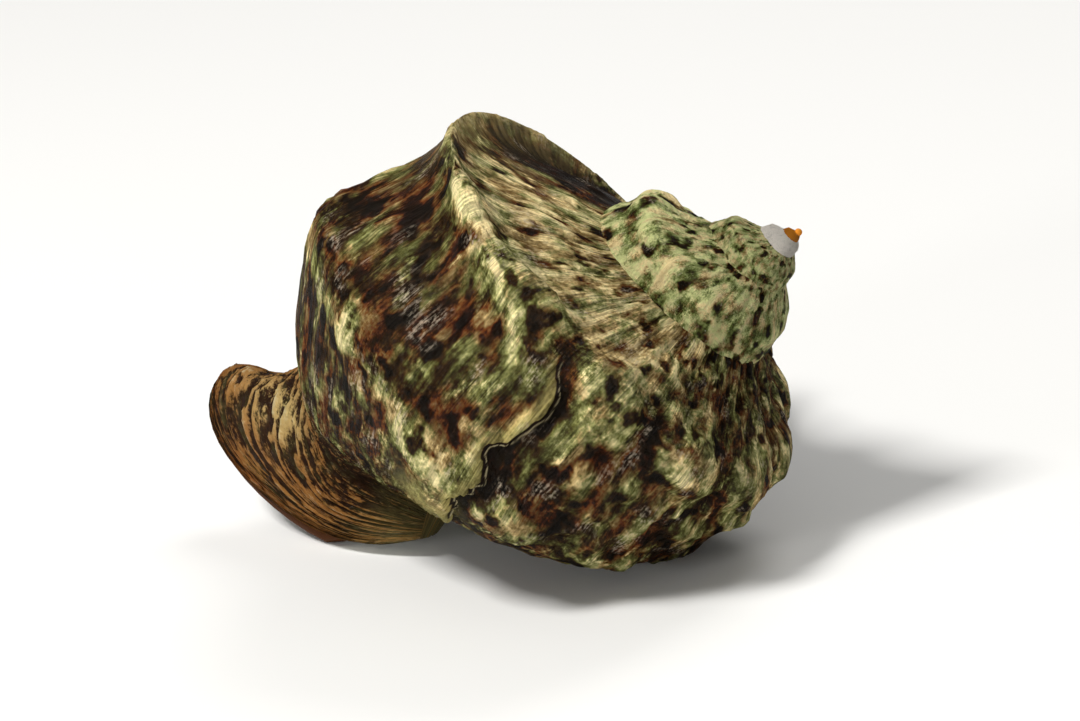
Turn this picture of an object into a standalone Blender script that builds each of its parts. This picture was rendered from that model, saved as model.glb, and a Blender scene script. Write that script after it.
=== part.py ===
"""A big turban shell, lying on its opening.

The shell grew as one piece, so it is one solid. A whorl's cross-section is swept round the shell's axis while
it grows by a constant factor each turn. The last half turn departs from that law: the shoulder lifts into a
keel, the base drops, and the end of the lip flares into a broad spout. The wall is hollow back through the last
whorl, and the older whorls are solid.

The whorls are made in the shell's own frame, in millimetres: the tip of the spire at the origin, the axis down
along -Z, and every depth measured down from the tip. The finished shell is then turned to lie on its opening.
"""
import math

import bmesh
import bpy
import numpy as np
from mathutils import Euler, Matrix

MM = 0.001

# Growth
GROWTH_PER_TURN = 2.26      # each turn of the whorl is this many times the size of the one before
OLDEST_DEG = -1720          # growth angle at the tip of the spire, counted back from the lip
HOLLOW_DEG = -460           # the hollow reaches back to here
LIP_AZIMUTH_DEG = -120      # where the shoulder meets the lip, round the axis
STATION_STEP_DEG = 4.0      # one cross-section for each step of growth

# The lines that run round the whorl, and how far along its section each one lies, from seam to axis
# suture, ramp, groove, shoulder keel, upper side, side, low keel, base edge, base, spout crest, spout,
# spout root, axis end
ALONG = (0.0, 0.09, 0.17, 0.22, 0.29, 0.37, 0.45, 0.54, 0.62, 0.71, 0.82, 0.92, 1.0)
SHOULDER, LOW_KEEL = 3, 6

# Distance from the axis and depth below the tip of each line, in mm, at these growth angles
SECTIONS = {
    -480: ((15, 20), (20, 24), (26, 28), (31, 32), (33, 38), (35, 45), (36, 54),
           (34, 63), (29, 71), (22, 79), (13, 84), (5, 87), (0, 88)),
    -300: ((22, 29), (32, 35), (43, 40), (51, 45), (55, 53), (57, 67), (54, 78),
           (47, 90), (41, 104), (30, 117), (19, 126), (8, 131), (0, 133)),
    -210: ((28, 36), (45, 41), (60, 46), (67, 50), (68, 64), (69, 85), (65, 101),
           (54, 113), (41, 122), (27, 130), (16, 136), (6, 139), (0, 140)),
    -120: ((35, 45), (53, 55), (74, 65), (82, 65), (79, 78), (83, 104), (81, 116),
           (61, 137), (44, 149), (34, 152), (21, 153), (8, 149), (0, 146)),
    -75: ((39, 45), (58, 56), (77, 67), (85, 66), (85, 85), (85, 109), (85, 124),
          (72, 143), (52, 152), (41, 160), (24, 168), (6, 162), (0, 152)),
    -30: ((45, 52), (65, 61), (83, 69), (91, 65), (89, 87), (91, 110), (90, 130),
          (78, 154), (64, 170), (70, 180), (50, 191), (7, 172), (0, 160)),
    0: ((48, 58), (68, 64), (84, 70), (93, 65), (91, 88), (93, 111), (91, 131),
        (80, 156), (66, 172), (73, 185), (52, 197), (7, 174), (0, 162)),
}
# How far each line of one growth line hangs back round the axis, in degrees, at these growth angles
LAGS = {
    -120: (0, 0, 0, 0, 3, 8, 13, 16, 18, 18, 18, 18, 18),
    -75: (0, 0, 0, 0, 3, 8, 14, 22, 30, 36, 38, 38, 38),
    -30: (0, 0, 0, 0, 4, 10, 16, 30, 46, 58, 62, 62, 62),
    0: (0, 0, 0, 2, 8, 16, 25, 45, 68, 85, 88, 88, 88),
}

# Knobs along the two keels
KNOB_STEP_DEG = 24.0
KNOB_HEIGHT = {SHOULDER: 1.6, LOW_KEEL: 1.8}     # mm, at full growth
KNOB_WIDTH = 0.035          # reach to each side, as a share of the section
KNOBS_START_DEG = -450

# Wall
WALL_LIP = 3.0              # mm, at the lip
WALL_WHORL = 4.6            # mm, further back
WALL_GROWN_DEG = -120       # growth angle at which the wall has its full thickness
ROUNDING_PASSES = 8         # how far the hollow's surface is rounded off inside the keels
ROUNDING_ENDS_DEG = -50
THINNEST = 0.8              # share of the wall that the rounding leaves
RIM_LIP = 1.0               # mm that the lip's edge reaches past its last section
RIM_ROOT = 4.5              # the same at the root of the spout, where the lip lies along its section
RIM_ROOT_ALONG = (0.72, 0.86)
RIM_TURNED_IN = 0.12        # share of the lip's thickness taken off its outer corner
RIM_STATIONS = 5
HOLLOW_CLEARS = 9.0         # mm, how near the axis the hollow comes, at full growth
# The pillar that the whorls wind round: radius and depth in mm, down to its rounded end inside the spout
PILLAR = ((6, 62), (8, 90), (10, 118), (11.5, 136), (12, 146), (10.5, 154), (7.5, 160), (3.5, 164))
PILLAR_LEAN = (2.0, 0.0)    # mm that its end leans off the axis
PILLAR_SIDES = 32
TIP_RADIUS = 1.8            # mm, the worn, blunt tip of the spire
ROLL_LIP = 1.6              # mm, radius of the rounded edge along the lip
ROLL_ROOT = 2.6             # the same along the root of the spout
ROLL_SIDES = 12
SEAM_DEPTH = 1.8            # mm that a whorl's hidden side sinks into the whorl before it
SUTURE_ON_OLD = 0.37        # where the seam runs on the section of the whorl before
WALL_OLD = 1.6              # mm of glaze laid over the whorl before, inside the hollow
OUTER_POINTS = 56
CORE_POINTS = 8
HIDDEN_POINTS = 22

# Faceting
VOXEL = 1.0                 # mm
TRIANGLES = 9000

# Lying pose: turns about X, then Y, then Z, in degrees, from axis upright to lying on the opening
LIE_TURNS_DEG = (14.06, -57.66, 149.33)


def cubic(knots, values, at):
    """Natural cubic spline through values at knots, read at each place in at."""
    knots = np.asarray(knots, float)
    values = np.asarray(values, float)
    at = np.asarray(at, float)
    step = np.diff(knots)
    count = len(knots)
    system = np.eye(count)
    right = np.zeros(values.shape)
    slope = np.diff(values, axis=0) / step.reshape((-1,) + (1,) * (values.ndim - 1))
    for i in range(1, count - 1):
        system[i, i - 1:i + 2] = step[i - 1], 2 * (step[i - 1] + step[i]), step[i]
        right[i] = 6 * (slope[i] - slope[i - 1])
    bend = np.linalg.solve(system, right.reshape(count, -1)).reshape(values.shape)
    i = np.clip(np.searchsorted(knots, at) - 1, 0, count - 2)
    shape = at.shape + (1,) * (values.ndim - 1)
    width = step[i].reshape(shape)
    below = (at - knots[i]).reshape(shape)
    above = width - below
    return (bend[i] * above ** 3 + bend[i + 1] * below ** 3) / (6 * width) \
        + (values[i] / width - bend[i] * width / 6) * above \
        + (values[i + 1] / width - bend[i + 1] * width / 6) * below


def growth(deg):
    """Size of the whorl at a growth angle, 1 at the lip."""
    return GROWTH_PER_TURN ** (deg / 360)


def smooth_step(low, high, x):
    t = np.clip((x - low) / (high - low), 0, 1)
    return t * t * (3 - 2 * t)


def section(deg):
    """The named lines' distance from the axis and depth at one growth angle, in mm."""
    angles = sorted(SECTIONS)
    shapes = [np.array(SECTIONS[a], float) / growth(a) for a in angles]
    return cubic(angles, shapes, np.clip(deg, angles[0], angles[-1])) * growth(deg)


def lag_at(deg, along):
    """How far round the axis each place along one growth line hangs back, in degrees."""
    angles = sorted(LAGS)
    lags = cubic(angles, [LAGS[a] for a in angles], np.clip(deg, angles[0], angles[-1]))
    return cubic(ALONG, lags, along)


def knobs(deg, along):
    """Outward height of the keels' knobs, in mm, along one section."""
    wave = 0.5 + 0.5 * math.cos(math.radians(360 * deg / KNOB_STEP_DEG))
    height = np.zeros(len(along))
    for line, high in KNOB_HEIGHT.items():
        near = np.exp(-((along - ALONG[line]) / KNOB_WIDTH) ** 2)
        height += high * wave * near
    return height * growth(deg) * smooth_step(KNOBS_START_DEG, KNOBS_START_DEG + 120, deg)


def normals(points):
    """Unit normals of a section's outline, pointing away from the whorl's inside."""
    along = np.gradient(points, axis=0)
    out = np.stack([along[:, 1], -along[:, 0]], 1)
    return out / np.linalg.norm(out, axis=1, keepdims=True)


def outline(deg):
    """One closed cross-section of the shell wall: its points (radius, depth) and each one's lag in degrees."""
    size = growth(deg)
    along = np.linspace(0, 1, OUTER_POINTS)
    outer = cubic(ALONG, section(deg), along)
    outer = outer + normals(outer) * knobs(deg, along)[:, None]
    outer[:, 0] -= SEAM_DEPTH * size * (1 - smooth_step(0, 0.05, along))

    # the hidden side comes back up the axis and out along the whorl before, just under its surface
    old_along = np.linspace(0.96, SUTURE_ON_OLD, HIDDEN_POINTS)
    old = cubic(ALONG, section(deg - 360), old_along)
    old = old + normals(old) * SEAM_DEPTH * size
    climb = np.linspace(0, 1, CORE_POINTS + 2)[1:-1, None]
    core = outer[-1] * (1 - climb) + old[0] * climb

    outer_lag = lag_at(deg, along)
    old_lag = lag_at(deg - 360, old_along)
    core_lag = outer_lag[-1] * (1 - climb[:, 0]) + old_lag[0] * climb[:, 0]
    return np.concatenate([outer, core, old]), np.concatenate([outer_lag, core_lag, old_lag])


def outside(degs):
    """Every section's points stood round the axis, and the way outward from the axis at each."""
    rings = []
    ways = []
    for deg in degs:
        loop, lag = outline(deg)
        turn = np.radians(LIP_AZIMUTH_DEG - deg + lag)
        way = np.stack([np.cos(turn), np.sin(turn), np.zeros(len(turn))], 1)
        rings.append(way * loop[:, :1] + np.array([0, 0, -1]) * loop[:, 1:])
        ways.append(way)
    return np.array(rings), np.array(ways)


def inside(degs, rings, ways):
    """The hollow's surface: the outside moved in by the wall, rounded off inside the keels."""
    size = growth(degs)[:, None, None]
    across = np.cross(np.roll(rings, -1, 1) - np.roll(rings, 1, 1), np.gradient(rings, axis=0))
    across /= np.linalg.norm(across, axis=2, keepdims=True)
    for _ in range(ROUNDING_PASSES):
        beside = np.roll(across, 1, 1) + np.roll(across, -1, 1)
        behind = np.concatenate([across[:1], across[:-1]]) + np.concatenate([across[1:], across[-1:]])
        across = across / 3 + beside / 6 + behind / 6
    across /= np.linalg.norm(across, axis=2, keepdims=True)
    wall = WALL_LIP + (WALL_WHORL - WALL_LIP) * (1 - smooth_step(WALL_GROWN_DEG, 0, degs))
    wall = np.repeat(wall[:, None, None], rings.shape[1], axis=1)
    wall[:, OUTER_POINTS + CORE_POINTS:] = SEAM_DEPTH + WALL_OLD
    hollow = rings - across * wall * size

    share = (1 - smooth_step(ROUNDING_ENDS_DEG, 0, degs))[:, None, None]
    for _ in range(ROUNDING_PASSES):
        smoothed = hollow / 2 + (np.roll(hollow, 1, 1) + np.roll(hollow, -1, 1)) / 4
        hollow = hollow * (1 - share) + smoothed * share
    left = ((rings - hollow) * across).sum(axis=2, keepdims=True)
    hollow = hollow - across * np.maximum(THINNEST * wall * size - left, 0)

    # the pillar round the axis stays solid
    reach = (hollow * ways).sum(axis=2, keepdims=True)
    return hollow + ways * (np.maximum(reach, HOLLOW_CLEARS * size) - reach)


def bridge(mesh, ring, following):
    """Join two rings of vertices with quads."""
    for i in range(len(ring)):
        k = (i + 1) % len(ring)
        mesh.faces.new((ring[i], ring[k], following[k], following[i]))


def skin(mesh, rings):
    """Add rings of points and the quads between them. Returns the rings' vertices."""
    made = [[mesh.verts.new(point) for point in ring] for ring in rings]
    for ring, following in zip(made, made[1:]):
        bridge(mesh, ring, following)
    return made


def close(mesh, ring, point):
    """Close a ring of vertices with a fan to one point."""
    hub = mesh.verts.new(point)
    for i in range(len(ring)):
        mesh.faces.new((hub, ring[i], ring[(i + 1) % len(ring)]))


def rim_shift(ways):
    """How far the lip's edge reaches on past its last section: little round the lip, more at the spout's root."""
    place = np.arange(ways.shape[1]) / (OUTER_POINTS - 1)
    reach = RIM_LIP + (RIM_ROOT - RIM_LIP) * smooth_step(*RIM_ROOT_ALONG, place)
    onward = np.cross(ways[0], (0, 0, 1))
    return onward * reach[:, None]


def whorls():
    """The whole shell wall as one closed skin that still passes through itself where the whorls touch."""
    mesh = bmesh.new()
    degs = np.arange(0, OLDEST_DEG - 1, -STATION_STEP_DEG)
    rings, ways = outside(degs)
    last = int(-HOLLOW_DEG / STATION_STEP_DEG)
    hollow = inside(degs, rings, ways)[:last]
    shift = rim_shift(ways)
    for i in range(RIM_STATIONS):
        hollow[i] += shift * (1 - i / RIM_STATIONS)
    rim = rings[0] + shift
    rim = rim + (hollow[0] - rim) * RIM_TURNED_IN

    outer_made = skin(mesh, np.concatenate([rim[None], rings]))
    inner_made = skin(mesh, hollow)
    bridge(mesh, outer_made[0], inner_made[0])
    close(mesh, outer_made[-1], (0, 0, 0))
    close(mesh, inner_made[-1], hollow[-1].mean(axis=0))
    rim_roll(mesh, (rim + hollow[0]) / 2)
    pillar(mesh)
    bmesh.ops.create_icosphere(mesh, subdivisions=3, radius=TIP_RADIUS,
                               matrix=Matrix.Translation((0, 0, -TIP_RADIUS)))
    bmesh.ops.recalc_face_normals(mesh, faces=mesh.faces)
    return mesh


def rim_roll(mesh, edge):
    """A round roll along the lip's edge, from the seam to the axis."""
    path = edge[:OUTER_POINTS]
    ahead = np.gradient(path, axis=0)
    ahead /= np.linalg.norm(ahead, axis=1, keepdims=True)
    side = np.cross(ahead, (0, 0, 1))
    side /= np.linalg.norm(side, axis=1, keepdims=True)
    up = np.cross(side, ahead)
    turn = np.linspace(0, 2 * math.pi, ROLL_SIDES, endpoint=False)
    place = np.linspace(0, 1, OUTER_POINTS)
    radius = ROLL_LIP + (ROLL_ROOT - ROLL_LIP) * smooth_step(*RIM_ROOT_ALONG, place)
    rings = [at + r * (np.cos(turn)[:, None] * a + np.sin(turn)[:, None] * b)
             for at, r, a, b in zip(path, radius, side, up)]
    made = skin(mesh, rings)
    close(mesh, made[0], path[0])
    close(mesh, made[-1], path[-1])


def pillar(mesh):
    """The solid pillar round the axis, turned from its profile."""
    turn = np.linspace(0, 2 * math.pi, PILLAR_SIDES, endpoint=False)
    top, bottom = PILLAR[0][1], PILLAR[-1][1]
    rings = []
    for radius, depth in PILLAR:
        lean = np.array(PILLAR_LEAN) * (depth - top) / (bottom - top)
        rings.append(np.stack([lean[0] + radius * np.cos(turn), lean[1] + radius * np.sin(turn),
                               np.full(PILLAR_SIDES, -depth)], 1))
    made = skin(mesh, rings)
    close(mesh, made[0], rings[0].mean(axis=0))
    close(mesh, made[-1], rings[-1].mean(axis=0))


def shell_material():
    material = bpy.data.materials.new("mottled_shell")
    material.use_nodes = True
    surface = material.node_tree.nodes["Principled BSDF"]
    surface.inputs["Base Color"].default_value = (0.16, 0.17, 0.10, 1)
    surface.inputs["Roughness"].default_value = 0.38
    return material


def fused(group, mesh):
    """One solid where the whorls touch, with fewer and larger facets."""
    data = bpy.data.meshes.new("whorls")
    mesh.to_mesh(data)
    shape = bpy.data.objects.new("whorls", data)
    group.objects.link(shape)
    fuse = shape.modifiers.new("fuse", "REMESH")
    fuse.mode = "VOXEL"
    fuse.voxel_size = VOXEL
    count = facet_count(shape)
    reduce = shape.modifiers.new("reduce", "DECIMATE")
    reduce.ratio = TRIANGLES / count
    print("facets", count, "reduced to", facet_count(shape))
    made = bpy.data.meshes.new_from_object(shape.evaluated_get(bpy.context.evaluated_depsgraph_get()))
    bpy.data.objects.remove(shape, do_unlink=True)
    return made


def facet_count(shape):
    evaluated = shape.evaluated_get(bpy.context.evaluated_depsgraph_get())
    return sum(len(face.vertices) - 2 for face in evaluated.data.polygons)


def laid(data):
    """Turn the shell to lie on its opening and set the origin under the middle of its box."""
    data.transform(Matrix.Scale(MM, 4))
    data.transform(Euler([math.radians(a) for a in LIE_TURNS_DEG]).to_matrix().to_4x4())
    points = np.array([vertex.co for vertex in data.vertices])
    low, high = points.min(axis=0), points.max(axis=0)
    middle = (low + high) / 2
    data.transform(Matrix.Translation((-middle[0], -middle[1], -low[2])))


def main():
    for thing in list(bpy.data.objects):
        bpy.data.objects.remove(thing, do_unlink=True)
    group = bpy.data.collections.new("turban_shell")
    bpy.context.scene.collection.children.link(group)

    mesh = whorls()
    data = fused(group, mesh)
    mesh.free()
    laid(data)
    data.name = "turban_shell"
    data.materials.clear()
    data.materials.append(shell_material())
    data.polygons.foreach_set("use_smooth", [True] * len(data.polygons))
    group.objects.link(bpy.data.objects.new("turban_shell", data))


main()
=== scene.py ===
# %% [markdown]
# # A turban shell
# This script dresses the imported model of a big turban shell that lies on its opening. It loads the model as the
# frame, sweeps a finer shell in the same place, gives it ridges, knobs and a mottled, glossy finish, and sets up
# a plain studio with a camera. It can be read from top to bottom, and each step says why it is made as it is.

import math
from types import SimpleNamespace

import bpy
import numpy as np
from mathutils import Euler, Matrix, Vector


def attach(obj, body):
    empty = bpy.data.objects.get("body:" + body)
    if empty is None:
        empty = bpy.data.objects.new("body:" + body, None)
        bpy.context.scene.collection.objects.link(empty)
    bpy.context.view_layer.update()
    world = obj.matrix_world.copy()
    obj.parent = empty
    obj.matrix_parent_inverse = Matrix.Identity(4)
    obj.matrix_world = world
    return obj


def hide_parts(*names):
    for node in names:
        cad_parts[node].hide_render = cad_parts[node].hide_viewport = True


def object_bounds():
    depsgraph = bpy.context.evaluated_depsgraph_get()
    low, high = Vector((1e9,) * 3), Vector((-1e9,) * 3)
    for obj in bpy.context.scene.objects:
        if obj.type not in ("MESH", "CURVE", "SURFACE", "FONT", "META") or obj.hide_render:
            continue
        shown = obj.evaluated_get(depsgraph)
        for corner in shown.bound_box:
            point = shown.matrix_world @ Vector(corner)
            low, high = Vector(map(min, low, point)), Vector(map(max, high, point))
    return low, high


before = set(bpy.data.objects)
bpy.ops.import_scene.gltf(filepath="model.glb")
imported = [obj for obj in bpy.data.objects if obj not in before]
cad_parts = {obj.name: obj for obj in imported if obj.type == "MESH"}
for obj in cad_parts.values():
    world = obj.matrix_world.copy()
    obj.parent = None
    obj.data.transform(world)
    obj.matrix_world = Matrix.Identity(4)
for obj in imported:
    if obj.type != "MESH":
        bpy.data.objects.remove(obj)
MODEL_LOW, MODEL_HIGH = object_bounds()
print("the model's box in metres:", [round(v, 4) for v in (*MODEL_LOW, *MODEL_HIGH)])

# %% [markdown]
# ## The law of growth
# A snail only adds shell at the lip, and each turn comes out larger than the last by the same factor. So one
# number, the growth angle, says where we are on the whorl: 0 at the lip, and negative further back in time. The
# shape could be sculpted, but a law gives spacing and proportions that look right from every side.

# %% Growth
MM = 0.001
GROWTH_PER_TURN = 2.26
OLDEST_DEG = -1720
LIP_AZIMUTH_DEG = -120
KEEL_RADIUS_MM = 83


def growth(deg):
    """Size of the whorl at a growth angle, 1 at the lip."""
    return GROWTH_PER_TURN ** (deg / 360)


def smooth_step(low, high, x):
    """Rise from 0 at low to 1 at high, level at both ends."""
    t = np.clip((x - low) / (high - low), 0, 1)
    return t * t * (3 - 2 * t)


print("whorls:", round(-OLDEST_DEG / 360, 1), "size of the first:", round(growth(OLDEST_DEG), 3))

# %% [markdown]
# ## The whorl's section
# If the shell were cut through its axis, each whorl would show the same outline: a sloping ramp below the seam,
# a keel at the shoulder, a steep side, a second and lower keel, and a base that runs in to the axis. Thirteen
# lines run round the whorl, and each has a distance from the axis and a depth below the tip. The last half turn
# leaves the law: the shoulder lifts, the base drops and the end of the lip flares into a spout, so the lines
# are given at a few growth angles and a smooth curve joins them.

# %% Lines round the whorl
# suture, ramp, groove, shoulder keel, upper side, side, low keel, base edge, base, spout crest, spout,
# spout root, axis end
ALONG = (0.0, 0.09, 0.17, 0.22, 0.29, 0.37, 0.45, 0.54, 0.62, 0.71, 0.82, 0.92, 1.0)
SHOULDER, LOW_KEEL = 3, 6
SECTION_LENGTH_MM = 290

SECTIONS = {
    -480: ((15, 20), (20, 24), (26, 28), (31, 32), (33, 38), (35, 45), (36, 54),
           (34, 63), (29, 71), (22, 79), (13, 84), (5, 87), (-3, 89)),
    -300: ((22, 29), (32, 35), (43, 40), (51, 45), (55, 53), (57, 67), (54, 78),
           (47, 90), (41, 104), (30, 117), (19, 126), (8, 131), (-4, 134)),
    -210: ((28, 36), (45, 41), (60, 46), (67, 50), (68, 64), (69, 85), (65, 101),
           (54, 113), (41, 122), (27, 130), (16, 136), (5, 139), (-6, 140)),
    -120: ((35, 45), (53, 55), (74, 65), (82, 65), (79, 78), (83, 104), (81, 116),
           (61, 137), (44, 149), (34, 152), (21, 153), (7, 148), (-9, 142)),
    -75: ((39, 45), (58, 56), (77, 67), (85, 66), (85, 85), (85, 109), (85, 124),
          (72, 143), (52, 152), (41, 160), (24, 168), (4, 162), (-13, 142)),
    -30: ((45, 52), (65, 61), (83, 69), (91, 65), (89, 87), (91, 110), (90, 130),
          (78, 154), (64, 170), (70, 180), (50, 191), (4, 171), (-14, 145)),
    0: ((48, 58), (68, 64), (84, 70), (93, 65), (91, 88), (93, 111), (91, 131),
        (80, 156), (66, 172), (73, 185), (52, 197), (4, 173), (-14, 146)),
}
# How far each line of one growth line hangs back round the axis, in degrees
LAGS = {
    -120: (0, 0, 0, 0, 3, 8, 13, 16, 18, 18, 18, 18, 18),
    -75: (0, 0, 0, 0, 3, 8, 14, 22, 30, 36, 38, 38, 38),
    -30: (0, 0, 0, 0, 4, 10, 16, 30, 46, 58, 62, 62, 62),
    0: (0, 0, 0, 2, 8, 16, 25, 45, 68, 85, 88, 88, 88),
}


def cubic(knots, values, at):
    """Natural cubic spline through values at knots, read at each place in at."""
    knots = np.asarray(knots, float)
    values = np.asarray(values, float)
    at = np.asarray(at, float)
    step = np.diff(knots)
    count = len(knots)
    system = np.eye(count)
    right = np.zeros(values.shape)
    slope = np.diff(values, axis=0) / step.reshape((-1,) + (1,) * (values.ndim - 1))
    for i in range(1, count - 1):
        system[i, i - 1:i + 2] = step[i - 1], 2 * (step[i - 1] + step[i]), step[i]
        right[i] = 6 * (slope[i] - slope[i - 1])
    bend = np.linalg.solve(system, right.reshape(count, -1)).reshape(values.shape)
    i = np.clip(np.searchsorted(knots, at) - 1, 0, count - 2)
    shape = at.shape + (1,) * (values.ndim - 1)
    width = step[i].reshape(shape)
    below = (at - knots[i]).reshape(shape)
    above = width - below
    return (bend[i] * above ** 3 + bend[i + 1] * below ** 3) / (6 * width) \
        + (values[i] / width - bend[i] * width / 6) * above \
        + (values[i + 1] / width - bend[i + 1] * width / 6) * below


def section(deg):
    """The lines' distance from the axis and depth at one growth angle, in mm."""
    angles = sorted(SECTIONS)
    shapes = [np.array(SECTIONS[a], float) / growth(a) for a in angles]
    return cubic(angles, shapes, np.clip(deg, angles[0], angles[-1])) * growth(deg)


def lag_at(deg, along):
    """How far round the axis each place along one growth line hangs back, in degrees."""
    angles = sorted(LAGS)
    lags = cubic(angles, [LAGS[a] for a in angles], np.clip(deg, angles[0], angles[-1]))
    return cubic(ALONG, lags, along)


print("section lines:", len(ALONG), "given at", len(SECTIONS), "growth angles")

# %% [markdown]
# ## One closed loop of shell
# Each growth line is a closed loop: out along the section to the axis, up the axis, and back out under the
# whorl before, just below its surface. The loops of the newest whorl stand close together, because its fine
# growth ridges have to be real shape, and those of the old, small whorls stand further apart. At the seam the
# surface is tucked in, so that each whorl meets the one before it without a gap.

# %% Loops
OUTER_POINTS = 78
CORE_POINTS = 4
HIDDEN_POINTS = 18
SEAM_DEPTH_MM = 1.8
SEAM_TUCK_ALONG = 0.05
OLD_FROM_ALONG = 0.96
SUTURE_ON_OLD = 0.37


def outline(deg):
    """One growth line's loop: its points (radius, depth) in mm, and how far each hangs back in degrees."""
    size = growth(deg)
    along = np.linspace(0, 1, OUTER_POINTS)
    outer = cubic(ALONG, section(deg), along)
    outer[:, 0] -= SEAM_DEPTH_MM * size * (1 - smooth_step(0, SEAM_TUCK_ALONG, along))

    old_along = np.linspace(OLD_FROM_ALONG, SUTURE_ON_OLD, HIDDEN_POINTS)
    old = cubic(ALONG, section(deg - 360), old_along)
    tangent = np.gradient(old, axis=0)
    out = np.stack([tangent[:, 1], -tangent[:, 0]], 1)
    old = old + out / np.linalg.norm(out, axis=1, keepdims=True) * SEAM_DEPTH_MM * size
    climb = np.linspace(0, 1, CORE_POINTS + 2)[1:-1]
    core = outer[-1] * (1 - climb[:, None]) + old[0] * climb[:, None]

    outer_lag = lag_at(deg, along)
    old_lag = lag_at(deg - 360, old_along)
    core_lag = outer_lag[-1] * (1 - climb) + old_lag[0] * climb
    loop = np.concatenate([outer, core, old])
    lag = np.concatenate([outer_lag, core_lag, old_lag])
    return loop, lag


# Growth angle reached, and the step between loops on the way there
STATION_STEPS = ((-170, 0.8), (-222, 0.45), (-400, 0.8), (-800, 2.8), (OLDEST_DEG, 7.0))


def stations():
    """The growth angle of each loop, from the lip to the first whorl."""
    degs = [0.0]
    for reached, step in STATION_STEPS:
        while degs[-1] > reached:
            degs.append(degs[-1] - step)
    return np.array(degs)


def stood(loops, lags, degs):
    """Loops stood round the axis, in mm, and the way outward from the axis at each point."""
    turn = np.radians(LIP_AZIMUTH_DEG - degs[:, None] + lags)
    way = np.stack([np.cos(turn), np.sin(turn), np.zeros(turn.shape)], 2)
    return way * loops[..., :1] + np.array([0, 0, -1]) * loops[..., 1:], way


DEGS = stations()
loops, lags = (np.array(part) for part in zip(*[outline(deg) for deg in DEGS]))
rings, ways = stood(loops, lags, DEGS)
print("loops:", len(DEGS), "points in each:", rings.shape[1])

# %% [markdown]
# ## The hollow
# The snail lived in a smooth hollow that follows the outside at the wall's thickness. The same loops moved in
# along their own smoothed normals give it. A Solidify modifier would do it on a plain sheet, but it would cut
# through itself at the keels, where the inside of a real shell is rounded off.

# %% Hollow
HOLLOW_DEG = -320
HOLLOW_STEP_DEG = 5.0
WALL_LIP_MM = 3.0
WALL_WHORL_MM = 4.6
WALL_GROWN_DEG = -120
ROUNDING_PASSES = 8
ROUNDING_ENDS_DEG = -50
# Share of the wall that rounding has to leave
THINNEST = 0.8
HOLLOW_CLEARS_MM = 9.0
GLAZE_MM = 1.6


def inside(degs, outer_rings, outward):
    """The hollow's surface: the outside moved in by the wall, rounded off inside the keels."""
    size = growth(degs)[:, None, None]
    round_loop = np.roll(outer_rings, -1, 1) - np.roll(outer_rings, 1, 1)
    across = np.cross(round_loop, np.gradient(outer_rings, axis=0))
    across /= np.linalg.norm(across, axis=2, keepdims=True)
    for _ in range(ROUNDING_PASSES):
        beside = np.roll(across, 1, 1) + np.roll(across, -1, 1)
        behind = np.concatenate([across[:1], across[:-1]]) + np.concatenate([across[1:], across[-1:]])
        across = across / 3 + beside / 6 + behind / 6
    across /= np.linalg.norm(across, axis=2, keepdims=True)
    wall = WALL_LIP_MM + (WALL_WHORL_MM - WALL_LIP_MM) * (1 - smooth_step(WALL_GROWN_DEG, 0, degs))
    wall = np.repeat(wall[:, None, None], outer_rings.shape[1], axis=1)
    wall[:, OUTER_POINTS + CORE_POINTS:] = SEAM_DEPTH_MM + GLAZE_MM
    hollow = outer_rings - across * wall * size

    share = (1 - smooth_step(ROUNDING_ENDS_DEG, 0, degs))[:, None, None]
    for _ in range(ROUNDING_PASSES):
        smoothed = hollow / 2 + (np.roll(hollow, 1, 1) + np.roll(hollow, -1, 1)) / 4
        hollow = hollow * (1 - share) + smoothed * share
    left = ((outer_rings - hollow) * across).sum(axis=2, keepdims=True)
    hollow = hollow - across * np.maximum(THINNEST * wall * size - left, 0)
    reach = (hollow * outward).sum(axis=2, keepdims=True)
    return hollow + outward * (np.maximum(reach, HOLLOW_CLEARS_MM * size) - reach)


hollow_degs = np.arange(0, HOLLOW_DEG - 1, -HOLLOW_STEP_DEG)
hollow_loops, hollow_lags = (np.array(part) for part in zip(*[outline(deg) for deg in hollow_degs]))
hollow_rings = inside(hollow_degs, *stood(hollow_loops, hollow_lags, hollow_degs))
print("hollow loops:", len(hollow_degs), "points in each:", hollow_rings.shape[1])

# %% [markdown]
# ## The lip's edge
# The edge of the lip is rounded, and thickest at the root of the spout, where it runs into the pillar. The edge
# is a half round of extra loops between outside and hollow, and a bead follows it, as on an old shell whose
# lip has stopped growing and only thickens.

# %% Lip
RIM_LIP_MM = 1.0
RIM_ROOT_MM = 4.5
RIM_ROOT_ALONG = (0.72, 0.86)
RIM_TURNED_IN = 0.12
RIM_STATIONS = 4
RIM_LOOPS = 4
RIM_ROUND = 0.6
BEAD_LIP_MM = 1.6
BEAD_ROOT_MM = 2.6
BEAD_SIDES = 14

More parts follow.
